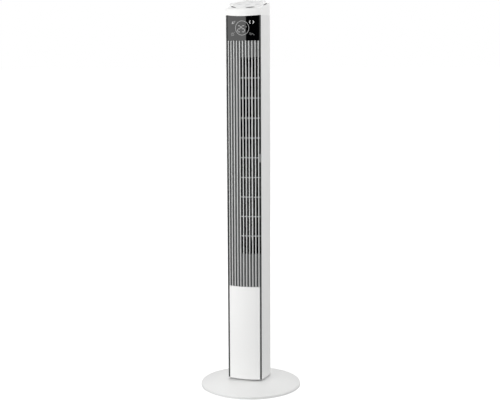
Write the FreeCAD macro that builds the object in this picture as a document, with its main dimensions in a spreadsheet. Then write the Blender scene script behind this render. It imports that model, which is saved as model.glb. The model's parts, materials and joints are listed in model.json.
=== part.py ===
import FreeCAD, Part
import math
import os

import Sketcher

# Tower fan.  Millimetres, +Z up.  The origin is the centre of the base's footprint on the floor,
# which is also the axis that the tower swings about.  The outlet grille faces -Y.

DIMENSIONS = [
    # alias, number, meaning
    ("base_radius", 150, "outside radius of the round base"),
    ("base_lift", 0.8, "height of the base rim's lower edge above the floor"),
    ("rim_top", 8.6, "height where the base rim meets the dome"),
    ("dome_rise", 27.4, "rise of the dome's sphere above the rim, on the axis"),
    ("base_top", 32, "height of the flat top of the base"),
    ("base_wall", 3, "wall thickness of the base shells"),
    ("base_hole", 24, "radius of the hole in the top of the base"),
    ("seam_back", 19, "distance of the base shells' seam behind the axis"),
    ("seam_gap", 0.4, "gap between the two base shells"),
    ("rim_round", 2.4, "rounding of the base rim"),
    ("floor_bottom", 2, "height of the base floor's lower face"),
    ("floor_thick", 2.5, "thickness of the base floor"),
    ("foot_radius", 9, "radius of a rubber foot"),
    ("foot_circle", 122, "radius of the circle of rubber feet"),
    ("ballast_outer", 118, "outside radius of the ballast ring"),
    ("ballast_inner", 62, "inside radius of the ballast ring"),
    ("ballast_thick", 7, "thickness of the ballast ring"),
    ("cord_radius", 3.4, "radius of the cord's way through its grommet"),
    ("cord_height", 4.9, "height of the cord's way above the floor"),
    ("grommet_radius", 4.2, "outside radius of the cord grommet"),
    ("grommet_length", 15, "length of the cord grommet"),
    ("post_radius", 22, "outside radius of the pivot post"),
    ("post_bore", 15, "radius of the wire way through the pivot post"),
    ("post_top", 60, "height of the top of the pivot post"),
    ("flange_radius", 44, "radius of the pivot post's flange"),
    ("flange_thick", 5, "thickness of the pivot post's flange"),
    ("ring_outer", 54, "outside radius of the slide ring"),
    ("ring_inner", 40, "inside radius of the slide ring"),
    ("running_gap", 0.3, "clearance between faces that slide past each other"),
    ("bearing_gap", 0.06, "radial clearance of the running fits"),
    ("tower_bottom", 35.5, "height of the tower's lower edge"),
    ("panel_top", 316.5, "height where the lower panel meets the grille"),
    ("outlet_bottom", 415, "height of the lower edge of the air outlet"),
    ("outlet_top", 986, "height of the upper edge of the air outlet"),
    ("display_bottom", 1033.5, "height where the grille meets the display window"),
    ("cap_bottom", 1105, "height of the top cap's lower edge"),
    ("cap_dip", 2.6, "how far the cap's lower edge dips at its front middle"),
    ("tower_radius", 60.3, "radius of the tower's round back"),
    ("side_angle", 8, "angle that the tower's sides close in towards the front"),
    ("corner_depth", 57.8, "distance of the front corners from the axis, forwards"),
    ("front_depth", 67.8, "distance of the middle of the front from the axis, forwards"),
    ("tower_wall", 2.5, "wall thickness of the tower's shell"),
    ("lip_wall", 0.9, "wall thickness of the shell's front lips"),
    ("panel_half", 46.6, "half width of the lower panel, the grille and the display window"),
    ("frame_half", 51.6, "half width of the front frame"),
    ("floor_depth", 4, "depth of the front frame's face behind the bowed front"),
    ("frame_thick", 2.8, "thickness of the front frame"),
    ("bar_pitch", 9.12, "distance from one grille bar to the next"),
    ("bar_width", 3.8, "width of a grille bar"),
    ("bar_count", 11, "number of grille bars"),
    ("cross_count", 9, "number of crossbars in the outlet"),
    ("cross_first", 468.3, "height of the middle of the lowest crossbar"),
    ("cross_pitch", 57.4, "distance from one crossbar to the next"),
    ("cross_height", 2, "height of a crossbar"),
    ("clip_bottom", 685, "height of the lower end of the grille clip"),
    ("clip_height", 23.5, "height of the grille clip"),
    ("joint_gap", 0.3, "gap along the joints between the front's pieces"),
    ("cap_front", 1123.6, "height of the slanted top's plane above the middle of the front"),
    ("cap_tilt", 13.6, "angle of the slanted top"),
    ("cap_round", 6, "rounding of the slanted top's edge"),
    ("corner_round", 2.2, "rounding of the top cap's upright corners"),
    ("dial_forward", 8.4, "distance of the control disc's centre in front of the axis"),
    ("dial_radius", 43, "radius of the control disc"),
    ("trim_radius", 49.6, "outside radius of the trim ring"),
    ("slot_inner", 50.1, "inside radius of the slots round the trim ring"),
    ("slot_outer", 52.8, "outside radius of the slots round the trim ring"),
    ("slot_arc", 27, "angle that each slot takes up"),
    ("slot_turn", 22, "angle of the front slot to the right of the front"),
    ("slot_count", 6, "number of slots"),
    ("key_radius", 7.5, "radius of a round key"),
    ("power_radius", 9, "radius of the power key"),
    ("key_circle", 27, "distance of the four keys from the power key"),
    ("key_travel", 0.8, "how far a key goes down"),
    ("fan_back", 8, "distance of the fan wheel's axis behind the tower's axis"),
    ("fan_left", 4, "distance of the fan wheel's axis to the left of the tower's axis"),
    ("fan_radius", 34, "outside radius of the fan wheel"),
    ("fan_bottom", 412, "height of the fan wheel's lower disc"),
    ("fan_top", 980, "height of the fan wheel's upper disc"),
    ("blade_count", 26, "number of blades of the fan wheel"),
    ("disc_count", 8, "number of discs of the fan wheel"),
    ("disc_thick", 2, "thickness of the fan wheel's discs"),
    ("shaft_radius", 4, "radius of the fan motor's shaft"),
    ("gear_teeth", 60, "teeth of the fixed gear"),
    ("pinion_teeth", 12, "teeth of the swing pinion"),
    ("gear_module", 1, "module of the swing gears"),
    ("gear_thick", 8, "thickness of the fixed gear"),
    ("screw_radius", 2, "radius of a screw's shank"),
]

doc = FreeCAD.newDocument("TowerFan")
sheet = doc.addObject("Spreadsheet::Sheet", "Dims")
for row, (alias, number, meaning) in enumerate(DIMENSIONS, start=1):
    sheet.set(f"A{row}", meaning)
    sheet.set(f"B{row}", str(number))
    sheet.setAlias(f"B{row}", alias)
doc.recompute()

NODES = {}


# ---------------------------------------------------------------- small helpers

def value(formula):
    """The number that a formula over the sheet stands for now."""
    return float(sheet.evalExpression(formula))


def bind(obj, **formulas):
    for name, formula in formulas.items():
        obj.setExpression(name, formula)
    return obj


def place(obj, x="0", y="0", z="0"):
    """Put an object at a point whose coordinates are formulas."""
    obj.setExpression("Placement.Base.x", x)
    obj.setExpression("Placement.Base.y", y)
    obj.setExpression("Placement.Base.z", z)
    return obj


def turn(obj, axis, angle):
    """Turn an object about its own origin by an angle that is a formula."""
    obj.Placement = FreeCAD.Placement(obj.Placement.Base, FreeCAD.Rotation(axis, value(angle)))
    obj.setExpression("Placement.Rotation.Angle", angle)
    return obj


X_AXIS = FreeCAD.Vector(1, 0, 0)
Z_AXIS = FreeCAD.Vector(0, 0, 1)


def node(label, obj):
    """Name a finished sub-part; its name is its file's name too."""
    for other in doc.getObjectsByLabel(label):
        if other != obj:
            other.Label = label + "_blank"
    obj.Label = label
    NODES[label] = obj
    return obj


def cylinder(label, radius, height, x="0", y="0", z="0"):
    solid = doc.addObject("Part::Cylinder", label)
    bind(solid, Radius=radius, Height=height)
    return place(solid, x, y, z)


def level_cylinder(label, radius, length, x="0", y="0", z="0"):
    """A cylinder whose axis runs towards -Y from its starting point."""
    solid = cylinder(label, radius, length)
    turn(solid, X_AXIS, "90")
    return place(solid, x, y, z)


def box(label, low, size):
    solid = doc.addObject("Part::Box", label)
    bind(solid, Length=size[0], Width=size[1], Height=size[2])
    return place(solid, *low)


def fuse(label, parts):
    whole = doc.addObject("Part::MultiFuse", label)
    whole.Shapes = parts
    return whole


def cut(label, base, tool):
    rest = doc.addObject("Part::Cut", label)
    rest.Base = base
    rest.Tool = tool
    return rest


def common(label, one, other):
    shared = doc.addObject("Part::Common", label)
    shared.Base = one
    shared.Tool = other
    return shared


def group(label, parts):
    """Separate solids of one kind, kept as one sub-part."""
    together = doc.addObject("Part::Compound", label)
    together.Links = parts
    return together


def tube(label, outer, inner, height, x="0", y="0", z="0"):
    return cut(
        label,
        cylinder(label + "_outside", outer, height, x, y, z),
        cylinder(label + "_hole", inner, height, x, y, z),
    )


def rounded(label, base, radius, wanted):
    """Round the edges of an object that the function wanted picks."""
    doc.recompute()
    size = value(radius)
    edges = [
        (number, size, size)
        for number, edge in enumerate(base.Shape.Edges, start=1)
        if wanted(edge)
    ]
    soft = doc.addObject("Part::Fillet", label)
    soft.Base = base
    soft.Edges = edges
    return soft


def origin_plane(body, role):
    return next(item for item in body.Origin.OriginFeatures if item.Role == role)


def outline(body, name, corners, arcs=None, plane="XY_Plane"):
    """A closed sketch on one of the body's own planes.

    corners are pairs of formulas; arcs maps a side's number to the point it passes through.
    """
    arcs = arcs or {}
    sketch = body.newObject("Sketcher::SketchObject", name)
    sketch.AttachmentSupport = [(origin_plane(body, plane), "")]
    sketch.MapMode = "FlatFace"
    points = [FreeCAD.Vector(value(x), value(y), 0) for x, y in corners]
    count = len(points)
    for side in range(count):
        start = points[side]
        end = points[(side + 1) % count]
        if side in arcs:
            middle = FreeCAD.Vector(value(arcs[side][0]), value(arcs[side][1]), 0)
            sketch.addGeometry(Part.Arc(start, middle, end), False)
        else:
            sketch.addGeometry(Part.LineSegment(start, end), False)

    def first_end(side):
        # the sketcher keeps arcs counter-clockwise, so an arc's first point may be its second end
        return 1 if (sketch.getPoint(side, 1) - points[side]).Length < 1e-6 else 2

    def fix(side, end, which, formula, name):
        index = sketch.addConstraint(
            Sketcher.Constraint(which, -1, 1, side, end, value(formula))
        )
        sketch.renameConstraint(index, name)
        sketch.setExpression("Constraints." + name, formula)

    for side in range(count):
        after = (side + 1) % count
        sketch.addConstraint(
            Sketcher.Constraint("Coincident", side, 3 - first_end(side), after, first_end(after))
        )
        fix(side, first_end(side), "DistanceX", corners[side][0], f"corner{side}x")
        fix(side, first_end(side), "DistanceY", corners[side][1], f"corner{side}y")
    for side, (x, y) in arcs.items():
        point = sketch.addGeometry(Part.Point(FreeCAD.Vector(value(x), value(y), 0)), True)
        fix(point, 1, "DistanceX", x, f"through{side}x")
        fix(point, 1, "DistanceY", y, f"through{side}y")
        sketch.addConstraint(Sketcher.Constraint("PointOnObject", point, 1, side))
    return sketch


def prism(label, corners, height, z="0", arcs=None):
    """A PartDesign body: one outline, padded upwards."""
    body = doc.addObject("PartDesign::Body", label)
    sketch = outline(body, label + "_outline", corners, arcs)
    pad = body.newObject("PartDesign::Pad", label + "_pad")
    pad.Profile = sketch
    bind(pad, Length=height)
    place(body, "0", "0", z)
    return body


def turned(label, corners, z="0", x="0", y="0", arcs=None):
    """A PartDesign body: an outline of (radius, height) pairs, turned about the upright axis."""
    body = doc.addObject("PartDesign::Body", label)
    sketch = outline(body, label + "_profile", corners, arcs, plane="XZ_Plane")
    spin = body.newObject("PartDesign::Revolution", label + "_turned")
    spin.Profile = sketch
    spin.ReferenceAxis = (sketch, ["V_Axis"])
    spin.Angle = 360
    place(body, x, y, z)
    return body


def rings(body, name, radii):
    """A sketch of circles about the body's origin."""
    sketch = body.newObject("Sketcher::SketchObject", name)
    sketch.AttachmentSupport = [(origin_plane(body, "XY_Plane"), "")]
    sketch.MapMode = "FlatFace"
    for index, radius in enumerate(radii):
        circle = Part.Circle(FreeCAD.Vector(0, 0, 0), FreeCAD.Vector(0, 0, 1), value(radius))
        sketch.addGeometry(circle, False)
        sketch.addConstraint(Sketcher.Constraint("Coincident", index, 3, -1, 1))
        number = sketch.addConstraint(Sketcher.Constraint("Radius", index, value(radius)))
        sketch.renameConstraint(number, f"radius{index}")
        sketch.setExpression(f"Constraints.radius{index}", radius)
    return sketch


# ---------------------------------------------------------------- the tower's plan

def side_x(depth, inset="0"):
    """Half width of the tower at a depth in front of the axis, measured inside by inset."""
    return (
        f"((Dims.tower_radius - ({inset})) / cos(Dims.side_angle)"
        f" - ({depth}) * tan(Dims.side_angle))"
    )


BOW_RADIUS = (
    f"((({side_x('Dims.corner_depth')})^2 + (Dims.front_depth - Dims.corner_depth)^2)"
    " / (2 * (Dims.front_depth - Dims.corner_depth)))"
)
BOW_CENTRE = f"({BOW_RADIUS} - Dims.front_depth)"


def bow_y(depth, x):
    """Y of the bowed front at a depth behind its face, at a distance x from the middle."""
    return f"({BOW_CENTRE} - sqrt(({BOW_RADIUS} - ({depth}))^2 - ({x})^2))"


def tower_plan(inset="0"):
    """Corners and arcs of the tower's plan: bowed front, closing sides, round back."""
    radius = f"(Dims.tower_radius - ({inset}))"
    corner = f"(Dims.corner_depth - ({inset}))"
    front = f"(Dims.front_depth - ({inset}))"
    tangent_x = f"{radius} * cos(Dims.side_angle)"
    tangent_y = f"-({radius}) * sin(Dims.side_angle)"
    corner_x = side_x(corner, inset)
    corners = [
        (f"-{corner_x}", f"-{corner}"),
        (corner_x, f"-{corner}"),
        (tangent_x, tangent_y),
        (f"-({tangent_x})", tangent_y),
    ]
    arcs = {0: ("0", f"-{front}"), 2: ("0", radius)}
    return corners, arcs


def inside_plan(inset):
    """The plan of a plate inside the tower, behind the front frame."""
    radius = f"(Dims.tower_radius - Dims.tower_wall - ({inset}))"
    depth = "(Dims.corner_depth - Dims.floor_depth - Dims.frame_thick - 1)"
    front = "(Dims.front_depth - Dims.floor_depth - Dims.frame_thick - 1)"
    tangent_x = f"{radius} * cos(Dims.side_angle)"
    tangent_y = f"-({radius}) * sin(Dims.side_angle)"
    corner_x = side_x(depth, f"Dims.tower_wall + ({inset})")
    corners = [
        (f"-{corner_x}", f"-{depth}"),
        (corner_x, f"-{depth}"),
        (tangent_x, tangent_y),
        (f"-({tangent_x})", tangent_y),
    ]
    arcs = {0: ("0", f"-{front}"), 2: ("0", radius)}
    return corners, arcs


def front_band(label, half, near, far, z, height):
    """A piece of the bowed front between two depths, with upright ends at plus and minus half."""
    corners = [
        (f"-({half})", bow_y(near, half)),
        (half, bow_y(near, half)),
        (half, bow_y(far, half)),
        (f"-({half})", bow_y(far, half)),
    ]
    arcs = {
        0: ("0", f"-(Dims.front_depth - ({near}))"),
        2: ("0", f"-(Dims.front_depth - ({far}))"),
    }
    return prism(label, corners, height, z, arcs)


# ---------------------------------------------------------------- the base

DOME_RADIUS = "((Dims.base_radius^2 + Dims.dome_rise^2) / (2 * Dims.dome_rise))"
DOME_CENTRE = f"(Dims.rim_top + Dims.dome_rise - {DOME_RADIUS})"
FLOOR_TOP = "(Dims.floor_bottom + Dims.floor_thick)"
FLANGE_SCREWS = "(Dims.post_radius + Dims.flange_radius) / 2"
BALLAST_SCREWS = "(Dims.ballast_inner + Dims.ballast_outer) / 2"


def around(circle, angle, middle_x="0", middle_y="0"):
    """Formulas for the point on a circle at an angle from +X."""
    return (
        f"{middle_x} + ({circle}) * cos({angle})",
        f"{middle_y} + ({circle}) * sin({angle})",
    )


def dome_height(radius, inset):
    """Height of the dome's surface at a radius, or of its underside when inset is its wall."""
    return f"({DOME_CENTRE} + sqrt(({DOME_RADIUS} - ({inset}))^2 - ({radius})^2))"


def dome_reach(height, inset):
    """Radius where the dome's surface comes to a height."""
    return f"sqrt(({DOME_RADIUS} - ({inset}))^2 - (({height}) - {DOME_CENTRE})^2)"


def cord_notch(label):
    """The space that the cord's grommet takes out of the rim and the floor."""
    radius = "(Dims.grommet_radius + Dims.running_gap)"
    length = "(Dims.grommet_length + 5)"
    arch = level_cylinder(
        label + "_arch", radius, length, "0", "Dims.base_radius + 2", "Dims.cord_height"
    )
    below = box(
        label + "_below",
        (f"-{radius}", f"Dims.base_radius + 2 - {length}", "0"),
        (f"2 * {radius}", length, "Dims.cord_height"),
    )
    return fuse(label, [arch, below])


def base_shells():
    wall = "Dims.base_wall"
    rim_inside = f"(Dims.base_radius - {wall})"
    roof = f"(Dims.base_top - {wall})"
    middle = "(Dims.base_radius * 0.72)"
    soft = "(Dims.base_radius - Dims.rim_round)"
    form = turned("base_form", [
        (rim_inside, "Dims.base_lift"),
        ("Dims.base_radius", "Dims.base_lift"),
        ("Dims.base_radius", "Dims.rim_top - Dims.rim_round"),
        (soft, dome_height(soft, "0")),
        (dome_reach("Dims.base_top", "0"), "Dims.base_top"),
        ("Dims.base_hole", "Dims.base_top"),
        ("Dims.base_hole", roof),
        (dome_reach(roof, wall), roof),
        (rim_inside, dome_height(rim_inside, wall)),
    ], arcs={
        2: ("Dims.base_radius - 0.29 * Dims.rim_round", "Dims.rim_top - 0.16 * Dims.rim_round"),
        3: (middle, dome_height(middle, "0")),
        7: (middle, dome_height(middle, wall)),
    })
    shell = cut("base_shell", form, cord_notch("shell_notch"))
    half = "(Dims.base_radius + 10)"
    front = box(
        "front_half",
        (f"-{half}", f"-{half}", "0"),
        (f"2 * {half}", f"{half} + Dims.seam_back - Dims.seam_gap / 2", "60"),
    )
    back = box(
        "back_half",
        (f"-{half}", "Dims.seam_back + Dims.seam_gap / 2", "0"),
        (f"2 * {half}", half, "60"),
    )
    node("base_shell_front", common("base_shell_front", shell, front))
    node("base_shell_rear", common("base_shell_rear", shell, back))


def screw_set(label, radius, low, height, circle, count, first):
    """Upright pegs round a circle: screws' shanks, or the holes for them."""
    pegs = []
    for number in range(count):
        x, y = around(circle, f"{first} + {number} * 360 / {count}")
        pegs.append(cylinder(f"{label}_{number}", radius, height, x, y, low))
    return pegs


def base_floor():
    plate = cylinder(
        "floor_plate",
        "Dims.base_radius - Dims.base_wall - Dims.running_gap",
        "Dims.floor_thick",
        z="Dims.floor_bottom",
    )
    holes = screw_set("floor_hole_a", "Dims.screw_radius", "0", "6", FLANGE_SCREWS, 4, 45)
    holes += screw_set("floor_hole_b", "Dims.screw_radius", "0", "6", BALLAST_SCREWS, 4, 45)
    wires = cylinder("floor_wire_hole", "Dims.post_bore", "10")
    space = fuse("floor_space", holes + [wires, cord_notch("floor_notch")])
    node("base_floor", cut("base_floor", plate, space))


def base_screws():
    screws = []
    for name, circle in (("flange", FLANGE_SCREWS), ("ballast", BALLAST_SCREWS)):
        heads = screw_set(
            f"{name}_head", "Dims.screw_radius * 1.9", "Dims.base_lift",
            "Dims.floor_bottom - Dims.base_lift", circle, 4, 45,
        )
        shanks = screw_set(
            f"{name}_shank", "Dims.screw_radius", "Dims.floor_bottom",
            "Dims.floor_thick + Dims.flange_thick - 1", circle, 4, 45,
        )
        for head, shank in zip(heads, shanks):
            screws.append(fuse(head.Label + "_screw", [head, shank]))
    node("base_screws", group("base_screws", screws))


def ballast():
    ring = tube(
        "ballast_ring", "Dims.ballast_outer", "Dims.ballast_inner", "Dims.ballast_thick", z=FLOOR_TOP
    )
    holes = screw_set("ballast_hole", "Dims.screw_radius", "0", "30", BALLAST_SCREWS, 4, 45)
    node("base_ballast", cut("base_ballast", ring, group("ballast_holes", holes)))


def rubber_feet():
    feet = screw_set("foot", "Dims.foot_radius", "0", "Dims.floor_bottom", "Dims.foot_circle", 6, 0)
    node("rubber_feet", group("rubber_feet", feet))


def pivot_post():
    neck = f"{FLOOR_TOP} + Dims.flange_thick"
    post = turned("post_form", [
        ("Dims.post_bore", FLOOR_TOP),
        ("Dims.flange_radius", FLOOR_TOP),
        ("Dims.flange_radius", neck),
        ("Dims.post_radius", neck),
        ("Dims.post_radius", "Dims.post_top"),
        ("Dims.post_bore", "Dims.post_top"),
    ])
    holes = screw_set("post_hole", "Dims.screw_radius", "0", "30", FLANGE_SCREWS, 4, 45)
    node("pivot_post", cut("pivot_post", post, group("post_holes", holes)))


def slide_ring():
    height = "Dims.tower_bottom - Dims.running_gap - Dims.base_top"
    node("slide_ring", tube("slide_ring", "Dims.ring_outer", "Dims.ring_inner", height, z="Dims.base_top"))


def cord_grommet():
    start = ("0", "Dims.base_radius - 1.5", "Dims.cord_height")
    outside = level_cylinder("grommet_form", "Dims.grommet_radius", "Dims.grommet_length", *start)
    bore = level_cylinder("grommet_bore", "Dims.cord_radius", "Dims.grommet_length", *start)
    node("cord_grommet", cut("cord_grommet", outside, bore))


# ---------------------------------------------------------------- the swing drive

HUB_TOP = "(Dims.tower_bottom + 10.5)"
GEAR_BOTTOM = f"({HUB_TOP} + Dims.running_gap + 0.1)"
GEAR_PITCH = "(Dims.gear_module * Dims.gear_teeth / 2)"
PINION_PITCH = "(Dims.gear_module * Dims.pinion_teeth / 2)"
PINION_BACK = f"({GEAR_PITCH} + {PINION_PITCH} + 0.05)"
MOTOR_SEAT = "(Dims.post_top + 2.1)"


def gear(label, pitch, teeth, first, height, bore):
    """A spur gear on its own origin: a root disc, one tooth, and its pattern about the axis."""
    root = f"({pitch} - 1.1 * Dims.gear_module)"
    tip = f"({pitch} + 0.75 * Dims.gear_module)"
    body = doc.addObject("PartDesign::Body", label)
    rim = rings(body, label + "_rim", [root, bore] if bore else [root])
    disc = body.newObject("PartDesign::Pad", label + "_disc")
    disc.Profile = rim
    bind(disc, Length=height)
    tooth = outline(body, label + "_tooth", [
        ("-0.92 * Dims.gear_module", f"{root} - 0.4"),
        ("0.92 * Dims.gear_module", f"{root} - 0.4"),
        ("0.62 * Dims.gear_module", pitch),
        ("0.28 * Dims.gear_module", tip),
        ("-0.28 * Dims.gear_module", tip),
        ("-0.62 * Dims.gear_module", pitch),
    ])
    one = body.newObject("PartDesign::Pad", label + "_one_tooth")
    one.Profile = tooth
    bind(one, Length=height)
    doc.recompute()
    ring = body.newObject("PartDesign::PolarPattern", label + "_teeth")
    ring.Originals = [one]
    ring.Axis = (origin_plane(body, "Z_Axis"), [""])
    ring.Angle = 360
    bind(ring, Occurrences=teeth)
    body.Tip = ring
    turn(body, Z_AXIS, first)
    return body


def fixed_gear():
    wheel = gear("fixed_gear", GEAR_PITCH, "Dims.gear_teeth", "0.0001", "Dims.gear_thick",
                 "Dims.post_radius")
    node("fixed_gear", place(wheel, "0", "0", GEAR_BOTTOM))


def swing_pinion():
    """The pinion meshes behind the post: a gap between its teeth faces the fixed gear's tooth."""
    wheel = gear("pinion_wheel", PINION_PITCH, "Dims.pinion_teeth", "180 / Dims.pinion_teeth",
                 "Dims.gear_thick - 0.6", None)
    place(wheel, "0", PINION_BACK, f"{GEAR_BOTTOM} + 0.3")
    shaft = cylinder("pinion_shaft", "Dims.screw_radius", f"{MOTOR_SEAT} + 8 - {GEAR_BOTTOM} - 0.3",
                     "0", PINION_BACK, f"{GEAR_BOTTOM} + 0.3")
    node("swing_pinion", fuse("swing_pinion", [wheel, shaft]))


def retaining_ring():
    low = f"{GEAR_BOTTOM} + Dims.gear_thick"
    node("retaining_ring", tube("retaining_ring", "Dims.post_radius + 4", "Dims.post_radius", "2.5", z=low))


def swing_motor():
    seat = MOTOR_SEAT
    can = cylinder("swing_motor_can", "19", "18", "0", PINION_BACK, seat)
    back = cylinder("swing_motor_back", "9", "2", "0", PINION_BACK, f"{seat} + 18")
    bore = cylinder("swing_motor_bore", "Dims.screw_radius + Dims.bearing_gap", "8.5",
                    "0", PINION_BACK, f"{seat} - 0.2")
    node("swing_motor", cut("swing_motor", fuse("swing_motor_form", [can, back]), bore))


def swing_motor_bracket():
    """A bridge over the post, on two legs, that carries the swing motor."""
    low = f"({MOTOR_SEAT} - 1.6)"
    plate = box("bracket_plate", ("-30", "17", low), ("60", "31", "1.6"))
    legs = [
        cylinder(f"bracket_leg_{name}", "3", f"{low} - Dims.tower_bottom - 4", x, "40",
                 "Dims.tower_bottom + 4")
        for name, x in (("left", "-26"), ("right", "26"))
    ]
    hole = cylinder("bracket_hole", "6", "10", "0", PINION_BACK, f"{low} - 3")
    node("swing_motor_bracket", cut("swing_motor_bracket", fuse("bracket_form", [plate] + legs), hole))


# ---------------------------------------------------------------- the tower's shell and front

TOWER_HEIGHT = "(Dims.cap_bottom - Dims.tower_bottom)"
FOOT_THICK = "4"
WINDOW_ANGLE = 50
WINDOW_LOW = "(Dims.outlet_bottom + 15)"
WINDOW_HIGH = "(Dims.outlet_top - 26)"
HANDLE_LOW = "1043"
HANDLE_HIGH = "1085"
HANDLE_HALF = "39"
COVER_ANGLE = 62
COVER_LOW = "1003"
BOSS_X = "18"
BOSS_Z = "46"


def tower_foot():
    corners, arcs = inside_plan("0.1")
    plate = prism("foot_plate", corners, FOOT_THICK, "Dims.tower_bottom", arcs)
    hub = cylinder("foot_hub", "30", f"{HUB_TOP} - Dims.tower_bottom", z="Dims.tower_bottom")
    bosses = [
        box(f"foot_boss_{name}", (f"{x} - 4", "44", "Dims.tower_bottom"), ("8", "8", "16"))
        for name, x in (("left", f"-{BOSS_X}"), ("right", BOSS_X))
    ]
    bore = cylinder("foot_bore", "Dims.post_radius + Dims.bearing_gap", "60")
    pilots = [
        level_cylinder(f"foot_pilot_{name}", "1.5", "9", x, "52", BOSS_Z)
        for name, x in (("left", f"-{BOSS_X}"), ("right", BOSS_X))
    ]
    whole = fuse("foot_form", [plate, hub] + bosses)
    node("tower_foot", cut("tower_foot", whole, fuse("foot_space", [bore] + pilots)))


def housing_screws():
    """Two screws from behind, through the shell, into the foot's bosses."""
    screws = []
    for name, x in (("left", f"-{BOSS_X}"), ("right", BOSS_X)):
        head = level_cylinder(f"housing_head_{name}", "3.4", "4", x, "57", BOSS_Z)
        shank = level_cylinder(f"housing_shank_{name}", "1.5", "9.5", x, "53.2", BOSS_Z)
        screws.append(fuse(f"housing_screw_{name}", [head, shank]))
    node("housing_screws", group("housing_screws", screws))


def back_sector(label, outer, inner, half_angle, low, height):
    """A curved plate of the round back, half_angle to each side of the middle."""
    band = tube(label, outer, inner, height, z=low)
    for solid in (band.Base, band.Tool):
        turn(solid, Z_AXIS, f"90 - ({half_angle})")
        bind(solid, Angle=f"2 * ({half_angle})")
    return band


def rear_housing():
    corners, arcs = tower_plan()
    outer = prism("housing_form", corners, TOWER_HEIGHT, "Dims.tower_bottom", arcs)
    inner_radius = "(Dims.tower_radius - Dims.tower_wall)"
    full_x = side_x("40", "Dims.tower_wall")
    lip_x = f"({side_x('Dims.corner_depth')} - Dims.lip_wall)"
    open_x = f"({lip_x} - ({full_x} - {lip_x}) * 22.2 / 17.8)"
    tangent_x = f"{inner_radius} * cos(Dims.side_angle)"
    tangent_y = f"-{inner_radius} * sin(Dims.side_angle)"
    hollow = prism(
        "housing_hollow",
        [
            (f"-{open_x}", "-80"),
            (open_x, "-80"),
            (full_x, "-40"),
            (tangent_x, tangent_y),
            (f"-({tangent_x})", tangent_y),
            (f"-{full_x}", "-40"),
        ],
        f"{TOWER_HEIGHT} + 20",
        "Dims.tower_bottom - 10",
        {3: ("0", inner_radius)},
    )
    window = back_sector("housing_window", "80", "40", str(WINDOW_ANGLE), WINDOW_LOW,
                         f"{WINDOW_HIGH} - {WINDOW_LOW}")
    crown = back_sector("housing_crown", "80", "40", str(COVER_ANGLE), COVER_LOW, "200")
    holes = [
        level_cylinder(f"housing_screw_hole_{name}", "3.7", "20", x, "66", BOSS_Z)
        for name, x in (("left", f"-{BOSS_X}"), ("right", BOSS_X))
    ]
    space = fuse("housing_space", [hollow, window, crown] + holes)
    node("rear_housing", cut("rear_housing", outer, space))


def handle_cover():
    """The upper part of the round back, a cover of its own with the grip's opening in it."""
    gap = "Dims.joint_gap"
    form = back_sector("cover_form", "Dims.tower_radius", "(Dims.tower_radius - Dims.tower_wall)",
                       str(COVER_ANGLE - 0.3), f"{COVER_LOW} + {gap}",
                       f"Dims.cap_bottom - {COVER_LOW} - {gap}")
    grip = box("cover_grip", (f"-{HANDLE_HALF}", "30", HANDLE_LOW),
               (f"2 * {HANDLE_HALF}", "50", f"{HANDLE_HIGH} - {HANDLE_LOW}"))
    node("handle_cover", cut("handle_cover", form, grip))


def rear_grille():
    """The intake grille: upright bars and hoops that follow the round back."""
    outer = "Dims.tower_radius"
    inner = "(Dims.tower_radius - Dims.tower_wall)"
    low = f"({WINDOW_LOW} + Dims.joint_gap)"
    height = f"({WINDOW_HIGH} - {WINDOW_LOW} - 2 * Dims.joint_gap)"
    reach = WINDOW_ANGLE - 0.3
    step = 4
    bars = []
    for angle in range(-WINDOW_ANGLE + 6, WINDOW_ANGLE - 5, step):
        bar = back_sector(f"intake_bar_{angle + WINDOW_ANGLE}", outer, inner, "0.9", low, height)
        for solid in (bar.Base, bar.Tool):
            turn(solid, Z_AXIS, f"90 - 0.9 + {angle}")
        bars.append(bar)
    for name, middle in (("left", reach - 1.5), ("right", 1.5 - reach)):
        edge = back_sector(f"intake_edge_{name}", outer, inner, "1.5", low, height)
        for solid in (edge.Base, edge.Tool):
            turn(solid, Z_AXIS, f"90 - 1.5 + {middle}")
        bars.append(edge)
    hoops = 14
    for number in range(hoops):
        at = f"{low} + ({height} - 3) * {number} / {hoops - 1}"
        bars.append(back_sector(f"intake_hoop_{number}", outer, inner, str(reach), at, "3"))
    node("rear_grille", fuse("rear_grille", bars))


def handle_cup():
    """The grip recess in the back: a cup set flush into the shell."""
    gap = "Dims.joint_gap"
    form = prism("cup_form", *([tower_plan()[0]]), f"{HANDLE_HIGH} - {HANDLE_LOW} - 2 * {gap}",
                 f"{HANDLE_LOW} + {gap}", tower_plan()[1])
    block = box("cup_block", (f"-({HANDLE_HALF} - {gap})", "31.5", HANDLE_LOW),
                (f"2 * ({HANDLE_HALF} - {gap})", "40", f"{HANDLE_HIGH} - {HANDLE_LOW}"))
    hollow = box("cup_hollow", (f"-({HANDLE_HALF} - 2.5)", "34", f"{HANDLE_LOW} + 2.8"),
                 (f"2 * ({HANDLE_HALF} - 2.5)", "40", f"{HANDLE_HIGH} - {HANDLE_LOW} - 5.6"))
    node("handle_cup", cut("handle_cup", common("cup_blank", form, block), hollow))


def front_frame():
    """The dark frame that backs the bowed front, open where the air comes out."""
    far = "Dims.floor_depth + Dims.frame_thick"
    band = front_band("frame_band", "Dims.frame_half", "Dims.floor_depth", far,
                      "Dims.tower_bottom", TOWER_HEIGHT)
    outlet = box("frame_outlet", ("-Dims.bar_pitch", "-75", "Dims.outlet_bottom"),
                 ("Dims.bar_pitch + 60", "40", "Dims.outlet_top - Dims.outlet_bottom"))
    light = box("frame_light", ("-42", "-75", "Dims.display_bottom + 7"),
                ("84", "40", "Dims.cap_bottom - Dims.display_bottom - 14"))
    node("front_frame", cut("front_frame", band, fuse("frame_space", [outlet, light])))


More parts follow.
